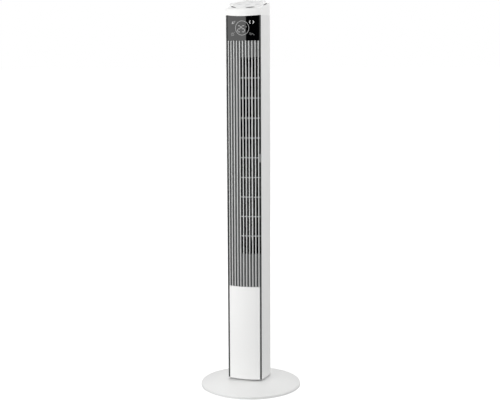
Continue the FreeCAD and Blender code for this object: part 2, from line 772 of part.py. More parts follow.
def lower_panel():
    panel = front_band("panel_form", "Dims.panel_half", "0", "Dims.floor_depth", "Dims.tower_bottom",
                       "Dims.panel_top - Dims.joint_gap - Dims.tower_bottom")
    front = value("-Dims.corner_depth") + 1

    def at_face(edge):
        # the upright edges of the face itself, not those against the frame
        return edge.BoundBox.ZLength > 100 and edge.BoundBox.YMax < front

    node("lower_panel", rounded("lower_panel", panel, "0.8", at_face))


def front_spot(x_along, depth):
    """Formulas for the point of the bowed front at an angle from its middle."""
    radius = f"({BOW_RADIUS} - ({depth}))"
    return f"{radius} * sin({x_along})", f"{BOW_CENTRE} - {radius} * cos({x_along})"


def bow_angle(distance):
    return f"(({distance}) / {BOW_RADIUS} * 180 / 3.14159265)"


def front_sector(label, near, far, left, right, low, height):
    """A band of the bowed front between two distances along it from the middle."""
    band = tube(label, f"{BOW_RADIUS} - ({near})", f"{BOW_RADIUS} - ({far})", height,
                "0", BOW_CENTRE, low)
    for solid in (band.Base, band.Tool):
        turn(solid, Z_AXIS, f"-90 + {bow_angle(left)}")
        bind(solid, Angle=bow_angle(f"({right}) - ({left})"))
    return band


def outlet_grille():
    """Upright bars on the bow, tied by a rail at each end and by crossbars over the outlet."""
    count = int(value("Dims.bar_count"))
    middle = (count - 1) / 2
    depth = "(Dims.floor_depth - 0.2)"
    half = "Dims.bar_pitch * (Dims.bar_count - 1) / 2 + Dims.bar_width / 2"
    parts = []
    for number in range(count):
        angle = bow_angle(f"Dims.bar_pitch * {number - middle}")
        bar = box(f"grille_bar_{number}", ("0", "0", "0"),
                  ("Dims.bar_width", depth, "Dims.display_bottom - Dims.panel_top - Dims.joint_gap"))
        turn(bar, Z_AXIS, angle)
        x, y = front_spot(angle, "0.15")
        place(bar, f"{x} - Dims.bar_width / 2 * cos({angle})",
              f"{y} - Dims.bar_width / 2 * sin({angle})", "Dims.panel_top")
        parts.append(bar)
    for number in range(int(value("Dims.cross_count"))):
        at = f"Dims.cross_first + Dims.cross_pitch * {number} - Dims.cross_height / 2"
        parts.append(front_sector(f"grille_cross_{number}", "2.9", "5.4", "-Dims.bar_pitch + 0.3",
                                  half + " + 3.2", at, "Dims.cross_height"))
    for name, low in (("lower", "Dims.outlet_bottom + 0.3"), ("upper", "Dims.outlet_top - 3.3")):
        parts.append(front_sector(f"grille_rail_{name}", "3.2", "6.4", "-Dims.bar_pitch + 0.3",
                                  half + " + 3.2", low, "3"))
    # thin ties in the left part, against the frame, hold the bars that the crossbars don't reach
    for number in range(3):
        at = f"Dims.panel_top + (Dims.display_bottom - Dims.panel_top - 6) * {number} / 2 + 2"
        parts.append(front_sector(f"grille_tie_{number}", "3.1", "3.9", f"-({half})", half, at, "2"))
    node("outlet_grille", fuse("outlet_grille", parts))


def grille_clip():
    """The spring clip beside the last bar, notched over the end of the middle crossbar."""
    clip = front_sector("clip_form", "2.2", "8", "Dims.bar_pitch * 5 + Dims.bar_width / 2 + 0.1",
                        "Dims.frame_half + 1.2", "Dims.clip_bottom", "Dims.clip_height")
    notch = front_sector("clip_notch", "2.7", "5.6", "Dims.bar_pitch * 5", "Dims.frame_half - 0.4",
                         "Dims.cross_first + Dims.cross_pitch * 4 - Dims.cross_height / 2 - 0.3",
                         "Dims.cross_height + 0.6")
    node("grille_clip", cut("grille_clip", clip, notch))


def hem_cylinder(label, extra):
    """The wide curve that the cap's lower front edge follows."""
    radius = "((Dims.panel_half^2 + Dims.cap_dip^2) / (2 * Dims.cap_dip))"
    return level_cylinder(label, f"{radius} + {extra}", "45", "0", "-40",
                          f"Dims.cap_bottom - Dims.cap_dip + {radius}")


def display_window():
    pane = front_band("pane_form", "Dims.panel_half", "0", "Dims.floor_depth", "Dims.display_bottom",
                      "Dims.cap_bottom - Dims.display_bottom - 0.1")
    node("display_window", cut("display_window", pane, hem_cylinder("pane_hem", "0.3")))


def display_board():
    board = box("board_card", ("-44", "-53.7", "Dims.display_bottom + 9"), ("88", "1.6", "54"))
    lamps = box("board_lamps", ("-30", "-58.4", "Dims.display_bottom + 14"), ("60", "4.7", "44"))
    node("display_board", fuse("display_board", [board, lamps]))


# ---------------------------------------------------------------- the slanted top

TILT_Z = "(Dims.cap_front + (Dims.front_depth - Dims.dial_forward) * tan(Dims.cap_tilt))"
CAP_SKIN = "3"


def tilted(obj, across="0", up="0", out="0"):
    """Put an object on the slanted top: across along +X, up the slope, out of the surface."""
    turn(obj, X_AXIS, "Dims.cap_tilt")
    return place(
        obj,
        across,
        f"-Dims.dial_forward + ({up}) * cos(Dims.cap_tilt) - ({out}) * sin(Dims.cap_tilt)",
        f"{TILT_Z} + ({up}) * sin(Dims.cap_tilt) + ({out}) * cos(Dims.cap_tilt)",
    )


def above_slope(label, out):
    """Everything above the slanted plane, moved out of the surface by out."""
    block = box(label, ("0", "0", "0"), ("240", "260", "90"))
    return tilted(block, "-120", "-130", out)


def top_cap():
    corners, arcs = tower_plan()
    low = "(Dims.cap_bottom - Dims.cap_dip)"
    blank = prism("cap_form", corners, "70", low, arcs)
    slanted = cut("cap_slanted", blank, above_slope("cap_above", "0"))
    normal = FreeCAD.Vector(0, -math.sin(math.radians(value("Dims.cap_tilt"))),
                            math.cos(math.radians(value("Dims.cap_tilt"))))
    on_plane = FreeCAD.Vector(0, -value("Dims.dial_forward"), value(TILT_Z))

    def on_slope(edge):
        return all(abs((vertex.Point - on_plane).dot(normal)) < 0.01 for vertex in edge.Vertexes)

    def corner(edge):
        bounds = edge.BoundBox
        return bounds.XLength < 0.1 and bounds.YLength < 0.1 and bounds.YMax < -50

    doc.recompute()
    soft = doc.addObject("Part::Fillet", "cap_soft")
    soft.Base = slanted
    edges = []
    for number, edge in enumerate(slanted.Shape.Edges, start=1):
        if on_slope(edge):
            edges.append((number, value("Dims.cap_round"), value("Dims.cap_round")))
        elif corner(edge):
            edges.append((number, value("Dims.corner_round"), value("Dims.corner_round")))
    soft.Edges = edges
    inner_corners, inner_arcs = tower_plan("Dims.tower_wall")
    room = prism("cap_room", inner_corners, "70", f"{low} - 5", inner_arcs)
    hollow = cut("cap_hollow", room, above_slope("cap_below_skin", f"-{CAP_SKIN}"))
    below = box("cap_under", ("-100", "-100", f"{low} - 20"), ("200", "200", "20 + Dims.cap_dip"))
    hem = cut("cap_hem", below, hem_cylinder("cap_hem_curve", "0"))
    opening = tilted(cylinder("cap_opening", "Dims.trim_radius", "20"), out="-12")
    slots = []
    for number in range(int(value("Dims.slot_count"))):
        slot = tube(f"cap_slot_{number}", "Dims.slot_outer", "Dims.slot_inner", "20")
        for solid in (slot.Base, slot.Tool):
            bind(solid, Angle="Dims.slot_arc")
            angle = f"-90 + Dims.slot_turn + {number} * 360 / Dims.slot_count - Dims.slot_arc / 2"
            turn(solid, Z_AXIS, angle)
        slots.append(slot)
    vents = tilted(group("cap_slots", slots), out="-12")
    space = fuse("cap_space", [hollow, hem, opening, vents])
    node("top_cap", cut("top_cap", soft, space))


def trim_ring():
    ring = turned("trim_ring", [
        ("Dims.dial_radius", f"-{CAP_SKIN}"),
        ("Dims.trim_radius", f"-{CAP_SKIN}"),
        ("Dims.trim_radius", "0.3"),
        ("Dims.trim_radius - 1.6", "1.6"),
        ("Dims.dial_radius + 2.6", "1.6"),
        ("Dims.dial_radius", "-0.2"),
    ], arcs={2: ("Dims.trim_radius - 0.45", "1.2")})
    node("trim_ring", tilted(ring))


KEY_PLACES = [
    # node, radius, angle round the disc, distance from its middle
    ("power_key", "Dims.power_radius", "0", "0"),
    ("speed_key", "Dims.key_radius", "0", "Dims.key_circle"),
    ("timer_key", "Dims.key_radius", "90", "Dims.key_circle"),
    ("mode_key", "Dims.key_radius", "180", "Dims.key_circle"),
    ("swing_key", "Dims.key_radius", "270", "Dims.key_circle"),
]
DISC_FACE = "-0.8"
DISC_BACK = "-3.2"
BOARD_FACE = "-7.6"
SWITCH_TOP = f"({BOARD_FACE} + 0.3)"


def keys():
    for name, radius, angle, distance in KEY_PLACES:
        stem = "3"
        foot = f"{SWITCH_TOP} + Dims.key_travel + 0.1"
        cap = turned(name, [
            ("0", foot),
            (stem, foot),
            (stem, "-4.8"),
            (f"{radius} + 1", "-4.8"),
            (f"{radius} + 1", "-3.6"),
            (radius, "-3.6"),
            (radius, "-0.9"),
            (f"{radius} - 0.5", "-0.45"),
            ("0", "-0.6"),
        ])
        node(name, tilted(cap, f"({distance}) * cos({angle})", f"({distance}) * sin({angle})"))


def control_disc():
    plate = cylinder("disc_plate", "Dims.dial_radius", f"{DISC_FACE} - ({DISC_BACK})", z=DISC_BACK)
    posts = []
    for number in range(3):
        x, y = around("38", f"45 + {number} * 120 - 30")
        posts.append(cylinder(f"disc_post_{number}", "2", f"{DISC_BACK} - ({BOARD_FACE})", x, y,
                              BOARD_FACE))
    holes = []
    for name, radius, angle, distance in KEY_PLACES:
        x, y = around(distance, angle)
        holes.append(cylinder(f"{name}_hole", f"{radius} + Dims.running_gap", "20", x, y, "-10"))
    disc = cut("control_disc", fuse("disc_form", [plate] + posts), group("disc_holes", holes))
    node("control_disc", tilted(disc))


def key_board():
    card = cylinder("key_card", "40.5", "1.6", z=f"{BOARD_FACE} - 1.6")
    switches = []
    for name, radius, angle, distance in KEY_PLACES:
        x, y = around(distance, angle)
        switches.append(cylinder(f"{name}_switch", "3", "0.6", x, y, f"{BOARD_FACE} - 0.3"))
    node("key_board", tilted(fuse("key_board", [card] + switches)))


# ---------------------------------------------------------------- the fan and its duct

FAN_X = "(-Dims.fan_left)"
FAN_Y = "Dims.fan_back"
FLOOR_PLATE_Z = "399"
DUCT_LOW = "402.5"
DUCT_HIGH = "990"
MOTOR_LOW = "324"
MOTOR_TOP = "386"


def impeller():
    """Blades round the rim, tied by discs; the two end discs carry the hubs."""
    body = doc.addObject("PartDesign::Body", "impeller")
    radius = "Dims.fan_radius"
    height = "Dims.fan_top - Dims.fan_bottom"
    ring = rings(body, "impeller_ring", [radius, f"{radius} - 9"])
    disc = body.newObject("PartDesign::Pad", "impeller_disc")
    disc.Profile = ring
    bind(disc, Length="Dims.disc_thick")
    blade_plan = outline(body, "impeller_blade_plan", [
        (f"{radius} - 7.6", "-0.6"),
        (f"{radius} - 0.7", "3.4"),
        (f"{radius} - 1.3", "4.5"),
        (f"{radius} - 8.1", "0.6"),
    ], {0: (f"{radius} - 3.6", "0.5"), 2: (f"{radius} - 4.5", "1.7")})
    blade = body.newObject("PartDesign::Pad", "impeller_blade")
    blade.Profile = blade_plan
    bind(blade, Length=height)
    doc.recompute()
    discs = body.newObject("PartDesign::LinearPattern", "impeller_discs")
    discs.Originals = [disc]
    discs.Direction = (origin_plane(body, "Z_Axis"), [""])
    bind(discs, Length=f"{height} - Dims.disc_thick", Occurrences="Dims.disc_count")
    body.Tip = discs
    doc.recompute()
    blades = body.newObject("PartDesign::PolarPattern", "impeller_blades")
    blades.Originals = [blade]
    blades.Axis = (origin_plane(body, "Z_Axis"), [""])
    blades.Angle = 360
    bind(blades, Occurrences="Dims.blade_count")
    body.Tip = blades
    place(body, FAN_X, FAN_Y, "Dims.fan_bottom")
    lower = tube("impeller_lower_plate", f"{radius} - 8.5", "Dims.shaft_radius", "Dims.disc_thick",
                 FAN_X, FAN_Y, "Dims.fan_bottom")
    lower_hub = tube("impeller_lower_hub", "9", "Dims.shaft_radius", "12", FAN_X, FAN_Y, "Dims.fan_bottom")
    upper = tube("impeller_upper_plate", f"{radius} - 8.5", "3", "Dims.disc_thick",
                 FAN_X, FAN_Y, "Dims.fan_top - Dims.disc_thick")
    upper_hub = tube("impeller_upper_hub", "7", "3", "10", FAN_X, FAN_Y, "Dims.fan_top - 10")
    node("impeller", fuse("impeller_whole", [body, lower, lower_hub, upper, upper_hub]))


def motor_shaft():
    length = f"Dims.fan_bottom + 12 - {MOTOR_LOW} - 2"
    node("motor_shaft", cylinder("motor_shaft", "Dims.shaft_radius", length,
                                 FAN_X, FAN_Y, f"{MOTOR_LOW} + 2"))


def top_axle():
    node("top_axle", cylinder("top_axle", "3", f"{DUCT_HIGH} + 5 - Dims.fan_top + 10",
                              FAN_X, FAN_Y, "Dims.fan_top - 10"))


def fan_motor():
    bore = "Dims.shaft_radius + Dims.bearing_gap"
    node("fan_motor", turned("fan_motor", [
        (bore, MOTOR_LOW),
        ("12", MOTOR_LOW),
        ("12", f"{MOTOR_LOW} + 6"),
        ("30", f"{MOTOR_LOW} + 6"),
        ("36", f"{MOTOR_LOW} + 14"),
        ("36", f"{MOTOR_TOP} - 8"),
        ("30", MOTOR_TOP),
        ("12", MOTOR_TOP),
        ("12", f"{MOTOR_TOP} + 6"),
        (bore, f"{MOTOR_TOP} + 6"),
    ], x=FAN_X, y=FAN_Y))


def motor_dampers():
    dampers = []
    for number in range(3):
        x, y = around("24", f"30 + {number} * 120", FAN_X, FAN_Y)
        dampers.append(cylinder(f"damper_{number}", "5", f"{FLOOR_PLATE_Z} - {MOTOR_TOP}", x, y, MOTOR_TOP))
    node("motor_dampers", group("motor_dampers", dampers))


def duct_plate(label, low, height, hole):
    corners, arcs = inside_plan("0.2")
    plate = prism(label + "_form", corners, height, low, arcs)
    return cut(label, plate, cylinder(label + "_hole", hole, "40", FAN_X, FAN_Y, f"{low} - 20"))


def duct_plates():
    node("duct_floor", duct_plate("duct_floor", FLOOR_PLATE_Z, f"{DUCT_LOW} - {FLOOR_PLATE_Z}", "14"))
    node("duct_ceiling", duct_plate("duct_ceiling", DUCT_HIGH, "3.5", "12"))


def duct_walls():
    """The volute leads the air round the wheel to the outlet; the tongue parts it from the intake."""
    height = f"{DUCT_HIGH} - {DUCT_LOW}"
    node("volute_wall", prism("volute_wall", [
        ("4", "46"),
        ("48.6", "-50.2"),
        ("50.4", "-49.4"),
        ("5", "48.2"),
    ], height, DUCT_LOW, {0: ("40.4", "12"), 2: ("42.5", "13")}))
    node("tongue_wall", prism("tongue_wall", [
        ("-11.6", "-59"),
        ("-9.4", "-59"),
        ("-13.6", "-35"),
        ("-22.5", "-29.6"),
        ("-23.6", "-31.6"),
        ("-15.4", "-36.6"),
    ], height, DUCT_LOW))


def top_bearing():
    bush = tube("bearing_bush", "12", "6", "5", FAN_X, FAN_Y, f"{DUCT_HIGH} - 0.8")
    sleeve = tube("bearing_sleeve", "6", "3 + Dims.bearing_gap", "8", FAN_X, FAN_Y, f"{DUCT_HIGH} - 2")
    node("bearing_bush", bush)
    node("bearing_sleeve", sleeve)


# ---------------------------------------------------------------- electrics

BOARD_BACK = "23.6"
BOARD_CARD = "1.6"


def power_board():
    front = f"({BOARD_BACK} - {BOARD_CARD})"
    card = box("power_card", ("-32", front, "95"), ("64", BOARD_CARD, "92"))
    transformer = box("power_transformer", ("-12", f"{front} - 20", "102"), ("26", "20", "24"))
    relay = box("power_relay", ("14", f"{front} - 14", "150"), ("12", "14", "18"))
    terminal = box("power_terminal", ("-28", f"{front} - 10", "168"), ("34", "10", "9"))
    cans = [
        level_cylinder(f"power_can_{number}", "5.5", "16", x, front, "142")
        for number, x in enumerate(("-22", "-8"))
    ]
    node("power_board", fuse("power_board", [card, transformer, relay, terminal] + cans))


def board_standoffs():
    pegs = []
    for number, (x, z) in enumerate((("-28", "99"), ("28", "99"), ("-28", "183"), ("28", "183"))):
        wall = "sqrt((Dims.tower_radius - Dims.tower_wall)^2 - 31^2)"
        pegs.append(level_cylinder(f"standoff_{number}", "3", f"{wall} - {BOARD_BACK}", x, wall, z))
    node("board_standoffs", group("board_standoffs", pegs))


# ---------------------------------------------------------------- build and write

for build in (
    base_shells, base_floor, base_screws, ballast, rubber_feet, pivot_post, slide_ring,
    cord_grommet, fixed_gear, retaining_ring, swing_pinion, swing_motor, swing_motor_bracket,
    tower_foot, rear_housing, handle_cover, rear_grille, handle_cup, housing_screws, front_frame,
    lower_panel, outlet_grille, grille_clip, display_window, display_board, top_cap, trim_ring, keys,
    control_disc, key_board, impeller, motor_shaft, top_axle, fan_motor, motor_dampers,
    duct_plates, duct_walls, top_bearing, power_board, board_standoffs,
):
    build()
doc.recompute()

for obj in doc.Objects:
    if "Invalid" in obj.State or "Error" in obj.State:
        raise SystemExit(f"{obj.Label} did not compute: {obj.State}")
for label, obj in NODES.items():
    if obj.Label != label:
        raise SystemExit(f"two objects are called {label}")
    if obj.Shape.isNull() or not obj.Shape.isValid():
        raise SystemExit(f"{label} has no valid shape")

os.makedirs("parts", exist_ok=True)
for label, obj in NODES.items():
    obj.Shape.exportStep(f"parts/{label}.step")
    bounds = obj.Shape.BoundBox
    print(
        f"{label:22s} solids {len(obj.Shape.Solids):3d}  volume {obj.Shape.Volume:12.0f}"
        f"  x {bounds.XMin:7.1f} {bounds.XMax:7.1f}  y {bounds.YMin:7.1f} {bounds.YMax:7.1f}"
        f"  z {bounds.ZMin:7.1f} {bounds.ZMax:7.1f}"
    )
print(len(NODES), "nodes")
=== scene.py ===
import json
import math

import bmesh
import bpy
from mathutils import Matrix, Vector

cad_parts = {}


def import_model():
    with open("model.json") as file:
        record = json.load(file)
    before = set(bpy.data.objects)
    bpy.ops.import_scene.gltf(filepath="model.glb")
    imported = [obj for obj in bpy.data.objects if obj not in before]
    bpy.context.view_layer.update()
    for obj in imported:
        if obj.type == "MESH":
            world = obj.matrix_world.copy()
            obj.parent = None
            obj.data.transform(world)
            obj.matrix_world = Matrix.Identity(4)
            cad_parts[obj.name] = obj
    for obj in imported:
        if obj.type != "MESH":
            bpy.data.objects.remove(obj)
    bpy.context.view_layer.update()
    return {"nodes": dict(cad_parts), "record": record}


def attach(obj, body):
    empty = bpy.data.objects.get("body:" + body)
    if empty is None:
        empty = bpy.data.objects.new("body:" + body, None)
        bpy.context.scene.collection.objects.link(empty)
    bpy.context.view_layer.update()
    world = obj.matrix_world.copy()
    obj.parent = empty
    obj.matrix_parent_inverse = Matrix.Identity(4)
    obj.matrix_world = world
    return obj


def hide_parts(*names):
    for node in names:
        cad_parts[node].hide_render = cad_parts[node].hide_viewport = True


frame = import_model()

# The tower fan's finished look.  Its pieces are drawn in millimetres in the part's own frame: +Z is
# up, the fan's front faces -Y, and the origin is on the floor under the tower.

NODES = frame["nodes"]
SCENE = bpy.context.scene
SCENE.view_settings.view_transform = "Standard"

MM = 0.001


# ------------------------------------------------------------------ camera

def make_camera():
    """The view from the right of the front, from just below the display's height."""
    azimuth, distance, height = 0.290330, 3.10678, 1.00290
    pitch, roll = 0.139896, -0.0045856
    lens_mm, sensor_mm = 76.016, 36
    nearest, farthest = 0.05, 200
    level = Vector((-math.sin(azimuth), math.cos(azimuth), 0))
    right = Vector((math.cos(azimuth), math.sin(azimuth), 0))
    z_axis = Vector((0, 0, 1))
    ahead = math.cos(pitch) * level - math.sin(pitch) * z_axis
    up = math.sin(pitch) * level + math.cos(pitch) * z_axis
    camera_x = math.cos(roll) * right + math.sin(roll) * up
    camera_y = -math.sin(roll) * right + math.cos(roll) * up
    data = bpy.data.cameras.new("camera")
    data.sensor_width = sensor_mm
    data.lens = lens_mm
    data.clip_start, data.clip_end = nearest, farthest
    camera = bpy.data.objects.new("camera", data)
    place = (distance * math.sin(azimuth), -distance * math.cos(azimuth), height)
    camera.matrix_world = Matrix((
        (camera_x.x, camera_y.x, -ahead.x, place[0]),
        (camera_x.y, camera_y.y, -ahead.y, place[1]),
        (camera_x.z, camera_y.z, -ahead.z, place[2]),
        (0, 0, 0, 1),
    ))
    SCENE.collection.objects.link(camera)
    SCENE.camera = camera


# ------------------------------------------------------------------ node helpers

NOISE_LOW, NOISE_HIGH = 0.3, 0.7


def add(tree, kind, **inputs):
    """A node with its sockets set by name, or by number as _0 or _1.

    A value is a plain number or colour, or a pair (node, output name or number) that makes a link.
    """
    node = tree.nodes.new(kind)
    for name, value in inputs.items():
        socket = node.inputs[int(name[1:])] if name[0] == "_" else node.inputs[name]
        if isinstance(value, tuple) and isinstance(value[0], bpy.types.Node):
            tree.links.new(value[0].outputs[value[1]], socket)
        else:
            socket.default_value = value
    return node


def maths(tree, operation, one, other):
    """One step of arithmetic, as a pair that add() can link."""
    node = add(tree, "ShaderNodeMath", _0=one, _1=other)
    node.operation = operation
    return node, 0


def noise(tree, scale, detail=2.0):
    """Noise fixed to the piece itself."""
    where = add(tree, "ShaderNodeTexCoord")
    return add(tree, "ShaderNodeTexNoise", Vector=(where, "Object"), Scale=scale, Detail=detail)


def ramp(tree, source, low, high):
    """A value that goes from low to high as the source noise goes over its usual range."""
    node = add(tree, "ShaderNodeMapRange")
    tree.links.new(source, node.inputs["Value"])
    for name, value in (("From Min", NOISE_LOW), ("From Max", NOISE_HIGH), ("To Min", low), ("To Max", high)):
        node.inputs[name].default_value = value
    return node.outputs["Result"]


def shaded(tree, colour, source, spread):
    """The colour, darker and lighter by spread as the source noise goes from low to high."""
    mix = tree.nodes.new("ShaderNodeMix")
    mix.data_type = "RGBA"
    factor, dark, light = 0, 6, 7
    tree.links.new(ramp(tree, source, 0.0, 1.0), mix.inputs[factor])
    mix.inputs[dark].default_value = (*[v * (1 - spread) for v in colour], 1)
    mix.inputs[light].default_value = (*[min(v * (1 + spread), 1) for v in colour], 1)
    return mix.outputs[2]


def material(name, colour, rough, spread=0.02, rough_spread=0.04, grain=900, bump=0.012,
             cloud=9, metallic=0.0, ior=1.5, shine=0.5):
    """A moulded or metal surface: faint clouding, a roughness that varies, and a fine grain."""
    made = bpy.data.materials.new(name)
    made.use_nodes = True
    tree = made.node_tree
    shader = tree.nodes["Principled BSDF"]
    clouds = noise(tree, cloud, 3.0)
    tree.links.new(shaded(tree, colour, clouds.outputs["Fac"], spread), shader.inputs["Base Color"])
    patches = noise(tree, cloud * 7)
    roughness = ramp(tree, patches.outputs["Fac"], max(rough - rough_spread, 0.0), rough + rough_spread)
    tree.links.new(roughness, shader.inputs["Roughness"])
    shader.inputs["Metallic"].default_value = metallic
    shader.inputs["IOR"].default_value = ior
    shader.inputs["Specular IOR Level"].default_value = shine
    if bump:
        fine = noise(tree, grain)
        height = add(tree, "ShaderNodeBump", Strength=1.0, Distance=bump * MM, Height=(fine, "Fac"))
        tree.links.new(height.outputs["Normal"], shader.inputs["Normal"])
    return made


# ------------------------------------------------------------------ materials

MATERIALS = {
    "white_shell": material("white_shell", (0.86, 0.862, 0.855), 0.42, spread=0.008, grain=1400),
    "white_gloss": material("white_gloss", (0.95, 0.95, 0.942), 0.32, spread=0.003, rough_spread=0.012,
                            grain=1500, bump=0.002),
    "grey_plastic": material("grey_plastic", (0.3, 0.3, 0.31), 0.5, spread=0.05),
    "frame_grey": material("frame_grey", (0.125, 0.128, 0.128), 0.5, spread=0.03, grain=1600),
    "silver_bars": material("silver_bars", (0.68, 0.69, 0.685), 0.38, spread=0.02, grain=2600, bump=0.006),
    # near-black flanks: painted shade in the gaps between the grille bars
    "bar_flank_shade": material("bar_flank_shade", (0.03, 0.03, 0.031), 0.7, spread=0.1, shine=0.1),
    "clip_grey": material("clip_grey", (0.4, 0.4, 0.4), 0.5, spread=0.04),
    "black_window": material("black_window", (0.001, 0.001, 0.0012), 0.03, spread=0.1, rough_spread=0.01,
                             bump=0, ior=1.54),
    "disc_grey": material("disc_grey", (0.94, 0.943, 0.94), 0.45, spread=0.01, grain=1500),
    "key_grey": material("key_grey", (0.8, 0.803, 0.8), 0.4, spread=0.01, grain=1500),
    "black_duct": material("black_duct", (0.005, 0.005, 0.0055), 0.85, spread=0.15, grain=600, bump=0.03,
                           shine=0.1),
    "wheel_grey": material("wheel_grey", (0.007, 0.007, 0.0075), 0.7, spread=0.15, shine=0.15),
    "pale_bearing_plastic": material("pale_bearing_plastic", (0.78, 0.77, 0.72), 0.35, spread=0.02),
    "rubber": material("rubber", (0.03, 0.03, 0.03), 0.75, spread=0.15, grain=500, bump=0.05),
    "screw_steel": material("screw_steel", (0.55, 0.55, 0.56), 0.3, spread=0.08, metallic=1.0),
    "shaft_steel": material("shaft_steel", (0.62, 0.62, 0.63), 0.22, spread=0.05, metallic=1.0),
    "bracket_steel": material("bracket_steel", (0.56, 0.56, 0.57), 0.32, spread=0.1, cloud=60,
                              metallic=1.0),
    "motor_can": material("motor_can", (0.4, 0.41, 0.42), 0.38, spread=0.08, metallic=0.9),
    "ballast_iron": material("ballast_iron", (0.09, 0.09, 0.09), 0.6, spread=0.2, grain=400, bump=0.15,
                             metallic=0.8),
    "bronze": material("bronze", (0.55, 0.4, 0.2), 0.35, spread=0.1, metallic=1.0),
    "board_green": material("board_green", (0.05, 0.2, 0.1), 0.35, spread=0.15, cloud=120),
}


def symbol_material(name, level):
    """Lit marks on the black pane: pale grey with a faint unevenness."""
    unlit, unevenness = 0.05, 0.06
    made = bpy.data.materials.new(name)
    made.use_nodes = True
    tree = made.node_tree
    shader = tree.nodes["Principled BSDF"]
    spots = noise(tree, 260).outputs["Fac"]
    tree.links.new(shaded(tree, (level,) * 3, spots, unevenness), shader.inputs["Emission Color"])
    tree.links.new(shaded(tree, (unlit,) * 3, spots, unevenness), shader.inputs["Base Color"])
    shader.inputs["Emission Strength"].default_value = 1.0
    shader.inputs["Roughness"].default_value = 0.25
    return made


def finish_nodes():
    """Every CAD node takes its slot's material."""
    slots = {row["node"]: row["material_slot"] for row in frame["record"]["subparts"]}
    for name, obj in NODES.items():
        obj.data.materials.clear()
        obj.data.materials.append(MATERIALS[slots[name]])


# ------------------------------------------------------------------ mesh helpers

BOW_RADIUS, BOW_MIDDLE = 144.2, 76.4


def bow(along, depth, z):
    """A point on the bowed front: along the arc, behind its surface by depth."""
    angle = along / BOW_RADIUS
    reach = BOW_RADIUS - depth
    return (reach * math.sin(angle), BOW_MIDDLE - reach * math.cos(angle), z)


def skinned(rows):
    """Verts and faces of a closed skin over rows of points, each the same section, with flat ends."""
    count = len(rows[0])
    verts = [point for row in rows for point in row]
    faces = []
    for row in range(len(rows) - 1):
        for k in range(count):
            a = row * count + k
            b = row * count + (k + 1) % count
            faces.append((a, b, b + count, a + count))
    faces.append(tuple(reversed(range(count))))
    faces.append(tuple(range(len(verts) - count, len(verts))))
    return verts, faces


def joined(parts):
    """Several (verts, faces) pairs as one."""
    verts, faces = [], []
    for more, shapes in parts:
        start = len(verts)
        verts.extend(more)
        faces.extend(tuple(start + i for i in face) for face in shapes)
    return verts, faces


def film(parts, outer, inner):
    """A thin closed film: flat marks laid on one surface, with their backs on another."""
    verts, faces = joined(parts)
    count = len(verts)
    solid = [outer(x, y) for x, y in verts] + [inner(x, y) for x, y in verts]
    sides = dict.fromkeys((a, b) for face in faces for a, b in zip(face, face[1:] + face[:1]))
    shapes = list(faces)
    shapes += [tuple(i + count for i in reversed(face)) for face in faces]
    shapes += [(b, a, a + count, b + count) for a, b in sides if (b, a) not in sides]
    return solid, shapes


def piece(name, shape, surface, body, sharp=35, flat=False):
    """A mesh piece in millimetres that rides on a body and takes its finish from a slot."""
    verts, faces = shape
    mesh = bpy.data.meshes.new(name)
    mesh.from_pydata([[c * MM for c in v] for v in verts], [], faces)
    mesh.validate()
    outward = bmesh.new()
    outward.from_mesh(mesh)
    bmesh.ops.recalc_face_normals(outward, faces=outward.faces)
    outward.to_mesh(mesh)
    outward.free()
    mesh.update()
    if not flat:
        mesh.polygons.foreach_set("use_smooth", [True] * len(mesh.polygons))
        mesh.set_sharp_from_angle(angle=math.radians(sharp))
    mesh.materials.append(surface)
    obj = bpy.data.objects.new(name, mesh)
    SCENE.collection.objects.link(obj)
    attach(obj, body)
    return obj


# ------------------------------------------------------------------ the grille

BAR_PITCH, BAR_HALF = 9.12, 1.6
BARS_PER_SIDE = 5
BAR_BACK, BAR_SHOULDER = 3.95, 1.3
BAR_LOW, BAR_HIGH = 316.5, 1033.2
SHADED_FLANK_DEPTH = 1.25
CROSS_FIRST, CROSS_PITCH, CROSS_COUNT = 468.3, 57.4, 9
CROSS_NEAR, CROSS_FAR, CROSS_HALF = 2.9, 5.4, 1.0
CROSS_OVERHANG = 4.6
CROSS_STATIONS = 40


def bar_section():
    """A bar with a half-round nose, a little narrower at the back, as (across, depth) points."""
    return [(-BAR_HALF + 0.25, BAR_BACK), (BAR_HALF - 0.25, BAR_BACK), (BAR_HALF, BAR_SHOULDER),
            (BAR_HALF - 0.12, 0.75), (BAR_HALF - 0.45, 0.35), (BAR_HALF - 0.95, 0.18), (0, 0.14),
            (-BAR_HALF + 0.95, 0.18), (-BAR_HALF + 0.45, 0.35), (-BAR_HALF + 0.12, 0.75),
            (-BAR_HALF, BAR_SHOULDER)]


def bar(middle):
    """One upright bar, its two ends drawn in a little."""
    tip, drawn_in = 0.4, 0.9
    levels = ((BAR_LOW, drawn_in), (BAR_LOW + tip, 1), (BAR_HIGH - tip, 1), (BAR_HIGH, drawn_in))
    return skinned([[bow(middle + u * scale, d, z) for u, d in bar_section()] for z, scale in levels])


def crossbar(middle):
    """A strip with rounded front edges that runs along the bow behind the bars' faces."""
    half, near, far = CROSS_HALF, CROSS_NEAR, CROSS_FAR
    section = [(-half, far), (-half, near + 0.5), (-half + 0.15, near + 0.15), (-half + 0.5, near),
               (half - 0.5, near), (half - 0.15, near + 0.15), (half, near + 0.5), (half, far)]
    left = -BAR_PITCH
    right = BARS_PER_SIDE * BAR_PITCH + CROSS_OVERHANG
    stops = [left + (right - left) * k / CROSS_STATIONS for k in range(CROSS_STATIONS + 1)]
    return skinned([[bow(along, d, middle + h) for h, d in section] for along in stops])


